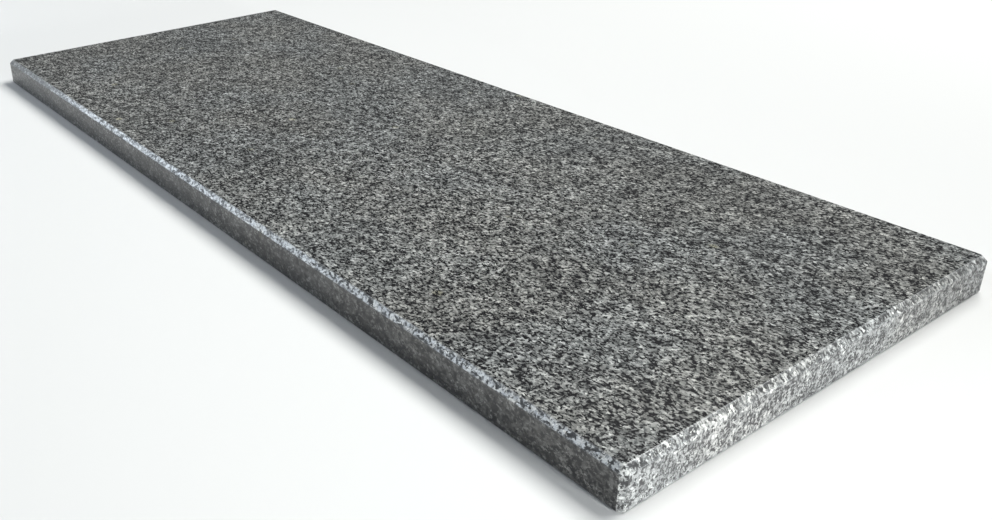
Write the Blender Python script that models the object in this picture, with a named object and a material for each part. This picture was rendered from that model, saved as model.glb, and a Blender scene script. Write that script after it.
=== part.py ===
"""Granite slab: one solid rectangular stone, sawn to size, with a polished top face.

The long top edges, the short top edges and the four upright corners are ground off at 45 degrees.
All other arrises are only eased, so that they don't cut the hand.
Frame: origin at the centre of the underside, +X along the length, +Y across the depth, +Z up.
"""

import bmesh
import bpy

LENGTH = 1.000
DEPTH = 0.400
THICKNESS = 0.030
TOP_CHAMFER = 0.0040  # leg of the 45 degree chamfer around the top face
CORNER_CHAMFER = 0.0035  # leg of the 45 degree chamfer on each upright corner
BOTTOM_ARRIS = 0.0008  # leg of the rubbed arris around the underside
EASED_RADIUS = 0.0005  # rounding where two ground faces meet
EASED_SEGMENTS = 2
EASED_ANGLE = 0.35  # radians: every arris turns more than this, and no flat face does

GRANITE_COLOUR = (0.17, 0.175, 0.175, 1.0)  # linear, the mean of white, grey and black grains
GRANITE_ROUGHNESS = 0.3

WEIGHT_LAYER = "bevel_weight_edge"


def clear_scene():
    for item in list(bpy.data.objects):
        bpy.data.objects.remove(item, do_unlink=True)


def granite_material():
    material = bpy.data.materials.new("granite")
    material.use_nodes = True
    shader = material.node_tree.nodes["Principled BSDF"]
    shader.inputs["Base Color"].default_value = GRANITE_COLOUR
    shader.inputs["Roughness"].default_value = GRANITE_ROUGHNESS
    shader.inputs["Metallic"].default_value = 0.0
    material.diffuse_color = GRANITE_COLOUR
    return material


def is_upright(edge):
    low, high = edge.verts
    return abs(low.co.z - high.co.z) > THICKNESS / 2


def height_of(edge):
    return sum(vert.co.z for vert in edge.verts) / 2


def sawn_block():
    """The block as it leaves the saw: a box on z = 0 with its four upright corners taken off."""
    mesh = bpy.data.meshes.new("granite_slab")
    block = bmesh.new()
    bmesh.ops.create_cube(block, size=1.0)
    bmesh.ops.scale(block, vec=(LENGTH, DEPTH, THICKNESS), verts=block.verts)
    bmesh.ops.translate(block, vec=(0.0, 0.0, THICKNESS / 2), verts=block.verts)
    bmesh.ops.bevel(
        block,
        geom=[edge for edge in block.edges if is_upright(edge)],
        offset=CORNER_CHAMFER,
        offset_type="OFFSET",
        segments=1,
        profile=0.5,
        affect="EDGES",
    )
    weight = block.edges.layers.float.new(WEIGHT_LAYER)
    for edge in block.edges:
        if is_upright(edge):
            continue
        on_top = height_of(edge) > THICKNESS / 2
        edge[weight] = 1.0 if on_top else BOTTOM_ARRIS / TOP_CHAMFER
    bmesh.ops.recalc_face_normals(block, faces=block.faces)
    block.to_mesh(mesh)
    block.free()
    return mesh


def add_slab():
    slab = bpy.data.objects.new("granite_slab", sawn_block())
    bpy.context.scene.collection.objects.link(slab)
    slab.data.materials.append(granite_material())

    chamfers = slab.modifiers.new("ground_chamfers", "BEVEL")
    chamfers.limit_method = "WEIGHT"
    chamfers.width = TOP_CHAMFER
    chamfers.segments = 1

    easing = slab.modifiers.new("eased_arrises", "BEVEL")
    easing.limit_method = "ANGLE"
    easing.angle_limit = EASED_ANGLE
    easing.width = EASED_RADIUS
    easing.segments = EASED_SEGMENTS
    return slab


clear_scene()
add_slab()
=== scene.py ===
"""Looks of the granite slab: a finely modelled stone with mineral grain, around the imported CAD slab.

The stone is one closed mesh, swept round the slab's outline and closed above and below:
hand-ground chamfers, arrises rubbed round with small chips in them, and flat top and bottom faces.
Its granite is a solid texture in metres, so the grain runs over the edges as it does in real stone.
"""
import math
import random

import bpy
from mathutils import Matrix, Quaternion, Vector, noise


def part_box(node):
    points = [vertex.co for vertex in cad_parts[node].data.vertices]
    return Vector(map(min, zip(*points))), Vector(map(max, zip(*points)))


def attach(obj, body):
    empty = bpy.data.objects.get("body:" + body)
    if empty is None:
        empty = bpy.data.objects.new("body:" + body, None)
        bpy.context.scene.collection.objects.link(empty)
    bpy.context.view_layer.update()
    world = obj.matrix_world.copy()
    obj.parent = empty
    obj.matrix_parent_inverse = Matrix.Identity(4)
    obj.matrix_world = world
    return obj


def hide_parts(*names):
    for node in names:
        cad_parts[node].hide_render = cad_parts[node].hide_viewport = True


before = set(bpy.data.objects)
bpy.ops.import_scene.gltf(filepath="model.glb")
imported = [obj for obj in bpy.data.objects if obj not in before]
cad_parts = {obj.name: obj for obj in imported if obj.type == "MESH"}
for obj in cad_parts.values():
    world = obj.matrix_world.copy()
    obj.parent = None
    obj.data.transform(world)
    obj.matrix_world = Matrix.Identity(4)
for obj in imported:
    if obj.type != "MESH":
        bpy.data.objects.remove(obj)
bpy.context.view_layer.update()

NODE = "granite_slab"
LOW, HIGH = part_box(NODE)

# ---------------------------------------------------------------- the slab's shape, in metres
TOP_CHAMFER = 0.0040
CORNER_CHAMFER = 0.0035
CHAMFER_WANDER = 0.00015  # how much the hand-ground chamfer's width comes and goes
CHAMFER_WANDER_LENGTH = 0.090
ARRIS_RADIUS = 0.00055
BOTTOM_ARRIS = 0.0009
ARRIS_RAGGED = 0.00022  # grains lost along an arris
ARRIS_RAGGED_LENGTH = 0.0016
RING_STEP = 0.00125  # spacing of the stations round the outline
SIDE_STEP = 0.0030
RIM = 0.0052  # how far in the swept ring reaches over the top and bottom faces
FIELD_INSET = 0.0160  # where the coarse inner grid starts
FIELD_STEP = 0.010
ARRIS_STEPS = 4  # steps round each arris of the chamfer
FOOT_STEPS = 2  # steps round each arris of the underside
SUPPORT = ARRIS_RADIUS * 0.6  # from the end of an arris to the row of points that holds it
RIM_WEAR = 0.15  # wear beside an arris, as a share of the wear on it
CHAMFER_ROWS = ((0.08, 0.3), (0.5, 0.0), (0.92, 0.3))  # (share of the way down the chamfer, wear)
SIDE_WEAR = 0.2
SOLE_WEAR = 0.1
CHIPS = 34
CHIP_SEED = 17
CHIPS_BELOW = 0.6  # share of the chips that are on the bottom arris
CHIP_RADIUS = (0.0009, 0.0022)
CHIP_BELOW_GROWTH = 1.25
CHIP_BELOW_HEIGHT = 0.0004
CHIP_DEPTH = (0.16, 0.30)  # as a share of the chip's radius
CHIP_REACH = 0.004  # no chip is felt farther off than this
SHARP_ANGLE = math.radians(34)
TINY = 1e-6

# ---------------------------------------------------------------- camera and light
CAMERA_AZIMUTH = math.radians(55.39)
CAMERA_ELEVATION = math.radians(25.00)
CAMERA_ROLL = math.radians(-1.69)
CAMERA_PLACE = Vector((0.7641, -0.5568, 0.3835))
CAMERA_LENS = 36.34
CAMERA_SHIFT = (0.151, -0.050)
# The low key light is gridded, which keeps it to the short end and the floor in front of it.
KEY_SPREAD = math.radians(40.0)
FLOOR_HALF = 14.0
FLOOR_GAP = 0.0002  # keeps the floor clear of the underside

SLOTS = ("granite_polished", "granite_edge", "granite_honed", "granite_ground", "granite_sawn")
POLISHED, EDGE, HONED, GROUND, SAWN = range(len(SLOTS))
LONG_EDGES = (2, 6)  # the outline's edges along the +Y and -Y sides
CORNERS = 8


# ================================================================ geometry
def octagon(inset):
    """Corners of the slab's outline, moved in by inset, anticlockwise from the +X end of the -Y side."""
    x = HIGH.x - inset
    y = HIGH.y - inset
    cut = CORNER_CHAMFER - inset * (2.0 - math.sqrt(2.0))
    return [
        (x, -y + cut), (x, y - cut),
        (x - cut, y), (-x + cut, y),
        (-x, y - cut), (-x, -y + cut),
        (-x + cut, -y), (x - cut, -y),
    ]


def stations():
    """(edge, share along it) of each station round the outline."""
    outline = octagon(0.0)
    found = []
    for edge, start in enumerate(outline):
        end = outline[(edge + 1) % len(outline)]
        steps = max(4, round(math.dist(start, end) / RING_STEP))
        found += [(edge, step / steps) for step in range(steps)]
    return found


def ring_at(inset, places):
    """The stations' places on the outline moved in by inset."""
    corners = octagon(inset)
    ring = []
    for edge, share in places:
        start = Vector(corners[edge])
        end = Vector(corners[(edge + 1) % len(corners)])
        ring.append(start.lerp(end, share))
    return ring


def rounded(corner, before, after, radius, steps):
    """Points of an arc that rounds the corner of an (inset, z) profile."""
    corner = Vector(corner)
    back = (Vector(before) - corner).normalized()
    ahead = (Vector(after) - corner).normalized()
    half_angle = back.angle(ahead) / 2.0
    reach = radius / math.tan(half_angle)
    centre = corner + (back + ahead).normalized() * (radius / math.sin(half_angle))
    first = corner + back * reach - centre
    last = corner + ahead * reach - centre
    turn = first.angle(last)
    points = []
    for step in range(steps + 1):
        share = step / steps
        blend = first * math.sin((1 - share) * turn) + last * math.sin(share * turn)
        points.append(centre + blend / math.sin(turn))
    return points


def profile():
    """The slab's section as rows of (inset, z, arris, slot), from the top face out and down to its foot.

    arris is 1 on a rounded arris and 0 on the flats. slot is the finish of the strip that follows the row.
    """
    top = HIGH.z
    rim_top = (RIM, top)
    chamfer_top = (TOP_CHAMFER, top)
    chamfer_foot = (0.0, top - TOP_CHAMFER)
    arris_side = (0.0, LOW.z + BOTTOM_ARRIS)
    arris_foot = (BOTTOM_ARRIS, LOW.z)
    rim_bottom = (RIM, LOW.z)

    rows = [(RIM, top, 0.0, POLISHED)]
    upper = rounded(chamfer_top, rim_top, chamfer_foot, ARRIS_RADIUS, ARRIS_STEPS)
    rows.append((upper[0].x + SUPPORT, top, RIM_WEAR, POLISHED))
    rows += [(p.x, p.y, 1.0, POLISHED if i < 1 else HONED) for i, p in enumerate(upper)]
    lower = rounded(chamfer_foot, chamfer_top, arris_side, ARRIS_RADIUS, ARRIS_STEPS)
    for share, wear in CHAMFER_ROWS:
        place = upper[-1].lerp(lower[0], share)
        rows.append((place.x, place.y, wear, HONED))
    rows += [(p.x, p.y, 1.0, HONED if i < 2 else GROUND) for i, p in enumerate(lower)]
    foot = rounded(arris_side, chamfer_foot, arris_foot, ARRIS_RADIUS, FOOT_STEPS)
    side_top = lower[-1].y - SUPPORT
    side_bottom = foot[0].y + SUPPORT
    steps = max(2, round((side_top - side_bottom) / SIDE_STEP))
    for step in range(steps + 1):
        z = side_top + (side_bottom - side_top) * step / steps
        rows.append((0.0, z, SIDE_WEAR if step in (0, steps) else 0.0, GROUND))
    rows += [(p.x, p.y, 1.0, GROUND) for p in foot]
    sole = rounded(arris_foot, arris_side, rim_bottom, ARRIS_RADIUS, FOOT_STEPS)
    rows += [(p.x, p.y, 1.0, GROUND if i < 2 else SAWN) for i, p in enumerate(sole)]
    rows.append((sole[-1].x + SUPPORT, LOW.z, SOLE_WEAR, SAWN))
    rows.append((RIM, LOW.z, 0.0, SAWN))
    return rows


def chip_list(rng, places):
    """Small conchoidal chips, most of them along the bottom arris: (centre, radius, depth)."""
    outline = ring_at(0.0, places)
    chips = []
    for _ in range(CHIPS):
        spot = outline[rng.randrange(len(outline))]
        below = rng.random() < CHIPS_BELOW
        z = LOW.z + CHIP_BELOW_HEIGHT if below else HIGH.z - TOP_CHAMFER
        radius = rng.uniform(*CHIP_RADIUS) * (CHIP_BELOW_GROWTH if below else 1.0)
        chips.append((Vector((spot.x, spot.y, z)), radius, radius * rng.uniform(*CHIP_DEPTH)))
    return chips


def finish_and_shade(slot, edge):
    """The long sides are edge-polished and darkened as painted shade; the ends and the cut corners are left
    ground.
    """
    return EDGE if slot == GROUND and edge in LONG_EDGES else slot


def worn(point, outward, arris, chips):
    """The point pushed inwards where grains are missing from an arris, or a chip has come off."""
    loss = 0.0
    if arris > 0.0:
        ragged = noise.noise(point / ARRIS_RAGGED_LENGTH)
        loss = max(0.0, ragged) ** 2 * ARRIS_RAGGED * 2.0 * arris
    for centre, radius, depth in chips:
        away = (point - centre).length
        if away < radius:
            loss = max(loss, depth * (1.0 - (away / radius) ** 2))
    return point - outward * loss


def outward_directions(rows):
    """For each row the (out, up) direction that its surface faces."""
    facing = []
    for index in range(len(rows)):
        before = rows[max(0, index - 1)]
        after = rows[min(len(rows) - 1, index + 1)]
        run = Vector((after[0] - before[0], after[1] - before[1]))
        facing.append(Vector((-run.y, -run.x)).normalized())
    return facing


def zip_loops(outer, inner, points):
    """Triangles and quads that join a fine closed loop to a coarse one inside it, both anticlockwise."""
    faces = []
    start = min(range(len(inner)), key=lambda k: (points[inner[k]] - points[outer[0]]).length)
    i, j = 0, 0
    while i < len(outer) or j < len(inner):
        a = outer[i % len(outer)]
        a_next = outer[(i + 1) % len(outer)]
        b = inner[(start + j) % len(inner)]
        b_next = inner[(start + j + 1) % len(inner)]
        grow_outer = (points[a_next] - points[b]).length
        grow_inner = (points[b_next] - points[a]).length
        if j >= len(inner) or (i < len(outer) and grow_outer <= grow_inner):
            faces.append((a, a_next, b))
            i += 1
        else:
            faces.append((a, b_next, b))
            j += 1
    return faces


def inner_field(z, points):
    """A coarse flat grid over the middle of a face. Returns its border loop, anticlockwise, and its faces."""
    x = HIGH.x - FIELD_INSET
    y = HIGH.y - FIELD_INSET
    across = round(2 * x / FIELD_STEP)
    deep = round(2 * y / FIELD_STEP)
    base = len(points)
    for row in range(deep + 1):
        for column in range(across + 1):
            points.append(Vector((-x + 2 * x * column / across, -y + 2 * y * row / deep, z)))

    def at(column, row):
        return base + row * (across + 1) + column

    faces = [
        (at(c, r), at(c + 1, r), at(c + 1, r + 1), at(c, r + 1))
        for r in range(deep)
        for c in range(across)
    ]
    border = [at(c, 0) for c in range(across)]
    border += [at(across, r) for r in range(deep)]
    border += [at(c, deep) for c in range(across, 0, -1)]
    border += [at(0, r) for r in range(deep, 0, -1)]
    return border, faces


def side_directions():
    """The direction that each edge of the outline faces."""
    corners = octagon(0.0)
    facing = []
    for edge in range(CORNERS):
        run = Vector(corners[(edge + 1) % CORNERS]) - Vector(corners[edge])
        facing.append(Vector((run.y, -run.x)).normalized())
    return facing


def chamfer_wander(outline):
    """How far the chamfer's surface lies under its true place at each station, where that is above 0."""
    return [
        noise.noise(Vector((spot.x, spot.y, 3.0)) / CHAMFER_WANDER_LENGTH) * CHAMFER_WANDER
        for spot in outline
    ]


def slab_mesh():
    """The whole stone as one closed mesh, with a finish on each face, and its wear, which also places the
    painted arris highlight, in the attribute arris.
    """
    places = stations()
    rows = profile()
    facing = outward_directions(rows)
    chips = chip_list(random.Random(CHIP_SEED), places)
    wander = chamfer_wander(ring_at(0.0, places))
    side_ways = side_directions()
    count = len(places)
    points, arris_of, faces, slots = [], [], [], []
    for (inset, z, arris, _), face_way in zip(rows, facing):
        on_chamfer = 0.0 < inset < RIM - TINY and HIGH.z / 2 < z < HIGH.z - TINY
        for index, spot in enumerate(ring_at(inset, places)):
            side_way = side_ways[places[index][0]]
            outward = Vector((side_way.x * face_way.x, side_way.y * face_way.x, face_way.y))
            shift = max(0.0, wander[index]) if on_chamfer else 0.0
            place = Vector((spot.x, spot.y, z)) - outward * shift
            near = [
                chip for chip in chips
                if abs(place.x - chip[0].x) < CHIP_REACH and abs(place.y - chip[0].y) < CHIP_REACH
            ]
            points.append(worn(place, outward, arris, near))
            arris_of.append(arris)
    for row in range(len(rows) - 1):
        for index in range(count):
            following = (index + 1) % count
            faces.append((
                row * count + index,
                (row + 1) * count + index,
                (row + 1) * count + following,
                row * count + following,
            ))
            slots.append(finish_and_shade(rows[row][3], places[index][0]))
    top_loop = list(range(count))
    bottom_loop = [(len(rows) - 1) * count + index for index in range(count)]
    for loop, z, slot, flip in ((top_loop, HIGH.z, POLISHED, False), (bottom_loop, LOW.z, SAWN, True)):
        border, field = inner_field(z, points)
        made = field + zip_loops(loop, border, points)
        faces += [tuple(reversed(face)) for face in made] if flip else made
        slots += [slot] * len(made)
    arris_of += [0.0] * (len(points) - len(arris_of))
    mesh = bpy.data.meshes.new("slab_stone")
    mesh.from_pydata([tuple(p) for p in points], [], faces)
    mesh.polygons.foreach_set("material_index", slots)
    # The arris wear also masks the paler arris colour: crushed grains and a painted highlight.
    wear_and_glint_layer = mesh.attributes.new("arris", "FLOAT", "POINT")
    wear_and_glint_layer.data.foreach_set("value", arris_of)
    mesh.validate()
    mesh.update()
    mesh.shade_smooth()
    mesh.set_sharp_from_angle(angle=SHARP_ANGLE)
    return mesh


# ================================================================ materials
class Graph:
    """A material's node tree, with short calls for the nodes that the granite needs."""

    def __init__(self, name):
        self.material = bpy.data.materials.new(name)
        self.material.use_nodes = True
        self.tree = self.material.node_tree
        self.shader = self.tree.nodes["Principled BSDF"]

    def node(self, kind, **settings):
        made = self.tree.nodes.new(kind)
        for key, value in settings.items():
            setattr(made, key, value)
        return made

    def feed(self, socket, value):
        if isinstance(value, bpy.types.NodeSocket):
            self.tree.links.new(value, socket)
        else:
            socket.default_value = value

    def place(self):
        return self.node("ShaderNodeTexCoord").outputs["Object"]

    def mapped(self, vector, shift=(0, 0, 0), turn=(0, 0, 0), scale=(1, 1, 1)):
        made = self.node("ShaderNodeMapping")
        self.feed(made.inputs["Vector"], vector)
        made.inputs["Location"].default_value = shift
        made.inputs["Rotation"].default_value = turn
        made.inputs["Scale"].default_value = scale
        return made.outputs["Vector"]

    def noise(self, vector, size, detail=2.0, rough=0.5, colour=False):
        made = self.node("ShaderNodeTexNoise")
        self.feed(made.inputs["Vector"], vector)
        made.inputs["Scale"].default_value = 1.0 / size
        made.inputs["Detail"].default_value = detail
        made.inputs["Roughness"].default_value = rough
        return made.outputs["Color" if colour else "Fac"]

    def cells(self, vector, size):
        made = self.node("ShaderNodeTexVoronoi")
        self.feed(made.inputs["Vector"], vector)
        made.inputs["Scale"].default_value = 1.0 / size
        return made

    def maths(self, operation, a, b):
        made = self.node("ShaderNodeMath", operation=operation)
        self.feed(made.inputs[0], a)
        self.feed(made.inputs[1], b)
        return made.outputs[0]

    def vector(self, operation, a, b):
        made = self.node("ShaderNodeVectorMath", operation=operation)
        self.feed(made.inputs[0], a)
        self.feed(made.inputs[1], b)
        return made.outputs[0]

    def channel(self, colour, name):
        made = self.node("ShaderNodeSeparateColor")
        self.feed(made.inputs[0], colour)
        return made.outputs[name]

    def smooth_step(self, value, low, high, to_low=0.0, to_high=1.0):
        made = self.node("ShaderNodeMapRange", interpolation_type="SMOOTHSTEP")
        self.feed(made.inputs["Value"], value)
        self.feed(made.inputs["From Min"], low)
        self.feed(made.inputs["From Max"], high)
        made.inputs["To Min"].default_value = to_low
        made.inputs["To Max"].default_value = to_high
        return made.outputs["Result"]

    def ramp(self, value, stops):
        made = self.node("ShaderNodeValToRGB")
        self.feed(made.inputs["Fac"], value)
        elements = made.color_ramp.elements
        while len(elements) < len(stops):
            elements.new(0.5)
        for element, (at, colour) in zip(elements, stops):
            element.position = at
            element.color = (*colour, 1.0)
        return made.outputs["Color"]

    def mix(self, share, a, b, blend="MIX"):
        made = self.node("ShaderNodeMix", data_type="RGBA", blend_type=blend)
        self.feed(made.inputs["Factor"], share)
        self.feed(made.inputs[6], a)
        self.feed(made.inputs[7], b)
        return made.outputs[2]

    def bump(self, height, metres):
        """Raise the surface by height times metres, in its shading only."""
        made = self.node("ShaderNodeBump")
        made.inputs["Distance"].default_value = metres
        self.feed(made.inputs["Height"], height)
        self.feed(self.shader.inputs["Normal"], made.outputs["Normal"])


# Sizes of the stone's grains and patches, in metres.
WARP_SIZE = 0.0012
WARP_REACH = 0.0022
FELDSPAR_SIZE = 0.0020
QUARTZ_SIZE = 0.0025
MICA_SIZE = 0.0029
FLAKE_STRETCH = 2.0  # a mica flake is this much wider than it is thick
FABRIC_TURN = math.radians(15.0)  # the grains lie slightly stretched along this line, seen from above
FABRIC_STRETCH = 1.20
SPECK_SIZE = 0.0006
CLUSTER_SIZE = 0.0070
CLOUD_SIZE = 0.060
DRIFT_SIZE = 0.085  # how far the stone's tint runs before it changes
WARM_DRIFT = (1.012, 1.00, 0.980, 1.0)
COOL_DRIFT = (0.985, 1.00, 1.012, 1.0)
PATCH_SIZE = 0.021

CROWD_RANGE = (1.35, 0.69)  # the rock's brightness where mica is scarce, and where it crowds
MICA_LIMIT = (0.622, 0.538)  # the noise level above which a flake shows, in the same two places
FELDSPAR_TONES = (
    (0.00, (0.130, 0.132, 0.129)),
    (0.50, (0.212, 0.215, 0.210)),
    (0.85, (0.300, 0.303, 0.296)),
    (1.00, (0.440, 0.442, 0.430)),
)
QUARTZ_TONES = (
    (0.30, (0.040, 0.042, 0.042)),
    (0.70, (0.100, 0.104, 0.104)),
)
MICA_TONES = (
    (0.30, (0.003, 0.003, 0.004)),
    (0.75, (0.018, 0.018, 0.020)),
)
CREAM = (0.42, 0.40, 0.27, 1.0)
CREAM_SHARE = 0.35
CREAM_RARITY = 0.90  # only the patches whose random number is above this show
CLOUD_RANGE = (0.88, 1.12)
BRUISE_AND_GLINT = (0.36, 0.37, 0.38, 1.0)  # crushed grains along an arris, and a painted highlight where the rounded arris catches the light
BRUISE_AND_GLINT_SHARE = (0.06, 0.40)
SAW_ARC_PLACE = (0.3, 1.9, 0.0)
SAW_ARC_SCALE = 45.0


def minerals(graph):
    """The grains, solid all through the stone.

    They are pale feldspar, grey quartz, black mica flakes and rare cream patches.
    """
    turned = graph.mapped(graph.place(), turn=(0, 0, -FABRIC_TURN))
    place = graph.mapped(turned, scale=(1 / FABRIC_STRETCH, 1, 1))
    warp = graph.vector("SUBTRACT", graph.noise(place, WARP_SIZE, 2.0, colour=True), (0.5, 0.5, 0.5))
    bent = graph.vector("ADD", place, graph.vector("MULTIPLY", warp, (WARP_REACH,) * 3))

    feldspar = graph.cells(bent, FELDSPAR_SIZE)
    tone = graph.channel(feldspar.outputs["Color"], "Red")
    quartz = graph.noise(graph.mapped(bent, shift=(3.1, 1.7, 0.4)), QUARTZ_SIZE, 1.5)
    cluster = graph.noise(place, CLUSTER_SIZE, 2.0, 0.6)

    leaning = graph.mapped(bent, turn=(0.4, 0.7, 0.6))
    one_way = graph.mapped(leaning, scale=(1, FLAKE_STRETCH, 1))
    other_way = graph.mapped(leaning, shift=(0.9, 5.3, 2.2), scale=(FLAKE_STRETCH, 1, 1))
    flakes = graph.maths(
        "MAXIMUM", graph.noise(one_way, MICA_SIZE, 1.0), graph.noise(other_way, MICA_SIZE, 1.0)
    )
    limit = graph.smooth_step(cluster, 0.32, 0.68, *MICA_LIMIT)
    mica = graph.smooth_step(graph.maths("SUBTRACT", flakes, limit), -0.016, 0.020)

    patch = graph.cells(graph.mapped(bent, shift=(7.0, 0.2, 4.4)), PATCH_SIZE)
    return {
        "tone": tone,
        "quartz": graph.smooth_step(quartz, 0.50, 0.60),
        "crowd": graph.smooth_step(cluster, 0.30, 0.70, *CROWD_RANGE),
        "mica": mica,
        "cloud": graph.noise(place, CLOUD_SIZE, 2.0),
        "drift": graph.noise(graph.mapped(place, shift=(4.2, 0.6, 1.1)), DRIFT_SIZE, 2.0),
        "speck": graph.noise(place, SPECK_SIZE, 2.0),
        "patch": patch,
    }


def granite(name, depth, veil, fleck, crush, rough, rough_range):
    """One finish of the stone. A matt surface scatters pale light over the grains.

    depth is what is left of the rock's colour, veil is the colour of the pale light over it, and fleck
    is the white over the mica, which a matt finish pales least. crush is how strongly fine fractures
    make each grain uneven. rough is the roughness, and rough_range is how much it differs between grains.
    """
    graph = Graph(name)
    grain = minerals(graph)

    feldspar = graph.ramp(grain["tone"], FELDSPAR_TONES)
    quartz = graph.ramp(grain["speck"], QUARTZ_TONES)
    mica = graph.ramp(grain["speck"], [(at, [part + fleck for part in tone]) for at, tone in MICA_TONES])
    rock = graph.mix(grain["quartz"], feldspar, quartz)

    patch_core = graph.smooth_step(grain["patch"].outputs["Distance"], 0.10, 0.22, 1.0, 0.0)
    patch_draw = graph.channel(grain["patch"].outputs["Color"], "Red")
    patch_rare = graph.maths("GREATER_THAN", patch_draw, CREAM_RARITY)
    patch_share = graph.maths("MULTIPLY", graph.maths("MULTIPLY", patch_core, patch_rare), CREAM_SHARE)
    rock = graph.mix(patch_share, rock, CREAM)

    fine = graph.smooth_step(grain["speck"], 0.28, 0.72, 1 - crush, 1 + crush)
    clouds = graph.smooth_step(grain["cloud"], 0.25, 0.75, *CLOUD_RANGE)
    drift = graph.smooth_step(grain["drift"], 0.35, 0.65)
    rock = graph.mix(1.0, rock, graph.mix(drift, WARM_DRIFT, COOL_DRIFT), blend="MULTIPLY")
    uneven = graph.maths("MULTIPLY", graph.maths("MULTIPLY", fine, clouds), grain["crowd"])
    rock = graph.mix(1.0, rock, uneven, blend="MULTIPLY")
    rock = graph.mix(1.0, rock, (depth, depth, depth, 1.0), blend="MULTIPLY")
    rock = graph.mix(1.0, rock, (*veil, 1.0), blend="ADD")
    colour = graph.mix(grain["mica"], rock, mica)

    # Paler along the arrises: crushed grains, and a painted highlight where a rounded arris catches the
    # light.
    arris = graph.node("ShaderNodeAttribute", attribute_name="arris").outputs["Fac"]
    bruise_and_glint = graph.maths("MULTIPLY", arris, graph.smooth_step(grain["speck"], 0.40, 0.65, *BRUISE_AND_GLINT_SHARE))
    colour = graph.mix(bruise_and_glint, colour, BRUISE_AND_GLINT)
    graph.feed(graph.shader.inputs["Base Color"], colour)

    gloss = graph.maths("MULTIPLY", graph.maths("SUBTRACT", grain["tone"], 0.5), rough_range)
    gloss = graph.maths("ADD", gloss, graph.maths("MULTIPLY", grain["mica"], rough_range * 1.5))
    graph.feed(graph.shader.inputs["Roughness"], graph.maths("ADD", gloss, rough))
    return graph, grain


def pitted(graph, grain, sunk):
    """A height of fine specks, with the soft mica sunk below them."""
    return graph.maths("ADD", graph.maths("MULTIPLY", grain["mica"], -sunk), grain["speck"])


def polished_granite():
    """The top: a full polish, which shows the grains at their deepest."""
    graph, grain = granite(
        SLOTS[POLISHED], depth=1.0, veil=(0.0, 0.0, 0.0), fleck=0.0, crush=0.12,
        rough=0.16, rough_range=0.03,
    )
    graph.bump(pitted(graph, grain, 0.6), 0.00001)
    return graph.material


def shaded_edge_granite():
    """The long sides, polished by an edge wheel and darker than the top as painted shade, under a faint haze.
    """
    # depth 0.48 darkens the long sides below the top's polish: painted shade.
    graph, grain = granite(
        SLOTS[EDGE], depth=0.48, veil=(0.037, 0.034, 0.031), fleck=0.012, crush=0.12,
        rough=0.26, rough_range=0.08,
    )
    graph.bump(pitted(graph, grain, 0.6), 0.00001)
    return graph.material


def honed_granite():
    """The chamfers: rubbed smooth by hand, paler than the top and with a wider sheen."""
    graph, grain = granite(
        SLOTS[HONED], depth=1.08, veil=(0.066, 0.067, 0.069), fleck=0.015, crush=0.18,
        rough=0.17, rough_range=0.22,
    )
    graph.bump(pitted(graph, grain, 0.8), 0.00002)
    return graph.material


def ground_granite():
    """The ends and the upright corners: matt and pale, with the tooth of the grinding wheel."""
    graph, grain = granite(
        SLOTS[GROUND], depth=0.90, veil=(0.064, 0.065, 0.067), fleck=0.016, crush=0.26,
        rough=0.42, rough_range=0.08,
    )
    tooth = graph.noise(graph.place(), 0.00045, 2.0)
    graph.bump(graph.maths("SUBTRACT", tooth, graph.maths("MULTIPLY", grain["mica"], 0.5)), 0.00005)
    return graph.material


def sawn_granite():
    """The underside: coarser, with the shallow arcs that the saw blade leaves."""
    graph, _ = granite(
        SLOTS[SAWN], depth=0.45, veil=(0.125, 0.126, 0.128), fleck=0.07, crush=0.26,
        rough=0.62, rough_range=0.06,
    )
    arcs = graph.node("ShaderNodeTexWave", wave_type="RINGS", rings_direction="SPHERICAL")
    graph.feed(arcs.inputs["Vector"], graph.mapped(graph.place(), shift=SAW_ARC_PLACE))
    arcs.inputs["Scale"].default_value = SAW_ARC_SCALE
    arcs.inputs["Distortion"].default_value = 1.2
    arcs.inputs["Detail"].default_value = 2.0
    tooth = graph.noise(graph.place(), 0.0006, 3.0)
    graph.bump(graph.maths("ADD", tooth, graph.maths("MULTIPLY", arcs.outputs["Fac"], 0.8)), 0.00012)
    return graph.material


# ================================================================ staging
def floor_material():
    material = bpy.data.materials.new("floor_pale")
    material.use_nodes = True
    shader = material.node_tree.nodes["Principled BSDF"]
    shader.inputs["Base Color"].default_value = (0.65, 0.65, 0.65, 1.0)
    shader.inputs["Roughness"].default_value = 0.9
    return material


def add_floor():
    corners = [(x * FLOOR_HALF, y * FLOOR_HALF, 0) for x, y in ((-1, -1), (1, -1), (1, 1), (-1, 1))]
    mesh = bpy.data.meshes.new("floor")
    mesh.from_pydata(corners, [], [(0, 1, 2, 3)])
    floor = bpy.data.objects.new("floor", mesh)
    floor.location.z = LOW.z - FLOOR_GAP
    bpy.context.scene.collection.objects.link(floor)
    mesh.materials.append(floor_material())


def add_area(name, place, aim, along, size, power, colour, spread=math.pi):
    """A soft panel at place, facing aim, with its first side along the given direction."""
    data = bpy.data.lights.new(name, "AREA")
    data.shape = "RECTANGLE"
    data.size, data.size_y = size
    data.energy = power
    data.color = colour
    data.spread = spread
    back = (Vector(place) - Vector(aim)).normalized()
    side = (Vector(along) - back * back.dot(Vector(along))).normalized()
    lamp = bpy.data.objects.new(name, data)
    lamp.location = place
    lamp.rotation_mode = "QUATERNION"
    lamp.rotation_quaternion = Matrix((side, back.cross(side), back)).transposed().to_quaternion()
    lamp.visible_camera = False
    bpy.context.scene.collection.objects.link(lamp)


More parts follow.
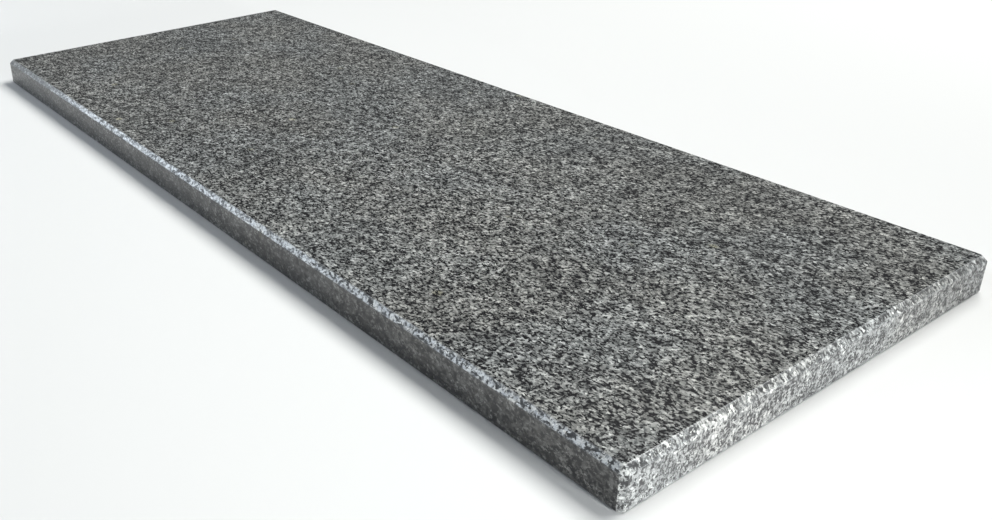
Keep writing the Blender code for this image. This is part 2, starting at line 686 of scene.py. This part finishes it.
def add_lights():
    add_area(
        "key", place=(2.3, -0.14, 0.30), aim=(0.5, -0.24, 0.015), along=(0, 1, 0),
        size=(0.4, 0.22), power=3.5, colour=(0.97, 1.0, 0.99), spread=KEY_SPREAD,
    )
    add_area(
        "overhead", place=(0.3, 1.9, 3.45), aim=(0.0, 0.1, 0.0), along=(1, 0, 0),
        size=(2.8, 1.9), power=220.0, colour=(0.99, 1.0, 0.975),
    )
    add_area(
        "fill", place=(-1.53, -1.385, 1.22), aim=(0.1, -0.2, 0.03), along=(0.877, -0.339, 0.344),
        size=(2.15, 0.35), power=20.0, colour=(0.80, 0.90, 1.0),
    )


def add_world():
    world = bpy.data.worlds.new("studio")
    bpy.context.scene.world = world
    world.use_nodes = True
    background = world.node_tree.nodes["Background"]
    background.inputs["Color"].default_value = (0.95, 0.975, 1.0, 1.0)
    background.inputs["Strength"].default_value = 0.10


def add_camera():
    data = bpy.data.cameras.new("camera")
    data.sensor_width = 36.0
    data.lens = CAMERA_LENS
    data.shift_x, data.shift_y = CAMERA_SHIFT
    data.clip_start, data.clip_end = 0.02, 60.0
    camera = bpy.data.objects.new("camera", data)
    bpy.context.scene.collection.objects.link(camera)
    back = Vector((
        math.sin(CAMERA_AZIMUTH) * math.cos(CAMERA_ELEVATION),
        -math.cos(CAMERA_AZIMUTH) * math.cos(CAMERA_ELEVATION),
        math.sin(CAMERA_ELEVATION),
    ))
    camera.rotation_mode = "QUATERNION"
    camera.rotation_quaternion = Quaternion(back, CAMERA_ROLL) @ (-back).to_track_quat("-Z", "Y")
    camera.location = CAMERA_PLACE
    bpy.context.scene.camera = camera


# ================================================================ assembly
def add_stone():
    stone = bpy.data.objects.new("slab_stone", slab_mesh())
    bpy.context.scene.collection.objects.link(stone)
    for make in (polished_granite, shaded_edge_granite, honed_granite, ground_granite, sawn_granite):
        stone.data.materials.append(make())
    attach(stone, "root")
    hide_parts(NODE)


bpy.context.scene.view_settings.view_transform = "Standard"
add_stone()
add_floor()
add_lights()
add_world()
add_camera()
